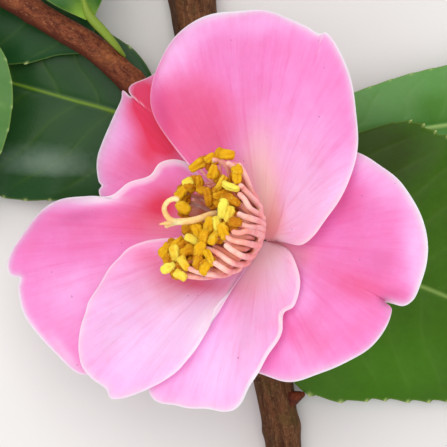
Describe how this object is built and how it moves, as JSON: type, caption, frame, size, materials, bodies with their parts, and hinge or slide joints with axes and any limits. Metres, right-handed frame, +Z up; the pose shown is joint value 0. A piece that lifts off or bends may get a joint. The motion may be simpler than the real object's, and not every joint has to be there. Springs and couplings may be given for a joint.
{
  "type": "cut flowering camellia sprig",
  "caption": "Cut camellia sprig lying on its woody stem, with an open single pink bloom, a golden stamen cup and glossy leaves.",
  "frame": {"origin": "centre of the bounding box's underside, on the surface the sprig lies on", "axes": "+Z up out of that surface, towards the bloom's face; +Y along the stem, towards its thick cut end; +X towards the large right-hand leaf"},
  "size_m": [0.1634, 0.1446, 0.0545],
  "materials": {
    "bark": "rough grey-brown bark with lengthwise streaks",
    "twig_bark": "smooth reddish-brown young bark with fine pale specks",
    "green_scale": "matt green bud scales and stalk",
    "petal": "soft satin pink with a paler rim and fine radial veins",
    "stamen": "matt golden anthers on pale pink filaments",
    "style": "satin cream-yellow",
    "leaf_dark": "glossy dark green with pale midrib",
    "leaf_light": "glossy light green with pale midrib"
  },
  "bodies": {
    "root": {"main_stem": "bark", "flowering_twig": "twig_bark", "bloom_stalk": "green_scale", "axillary_bud": "twig_bark", "sepal_1": "green_scale", "sepal_2": "green_scale", "sepal_3": "green_scale", "sepal_4": "green_scale", "sepal_5": "green_scale", "petal_top": "petal", "petal_upper_left": "petal", "petal_left": "petal", "petal_lower_left": "petal", "petal_lower": "petal", "petal_right": "petal", "stamens": "stamen", "pistil": "style", "leaf_left": "leaf_dark", "leaf_behind_twig": "leaf_dark", "leaf_right": "leaf_dark", "leaf_bright": "leaf_light", "leaf_edge": "leaf_light", "leaf_right_rear": "leaf_light"}
  },
  "joints": []
}
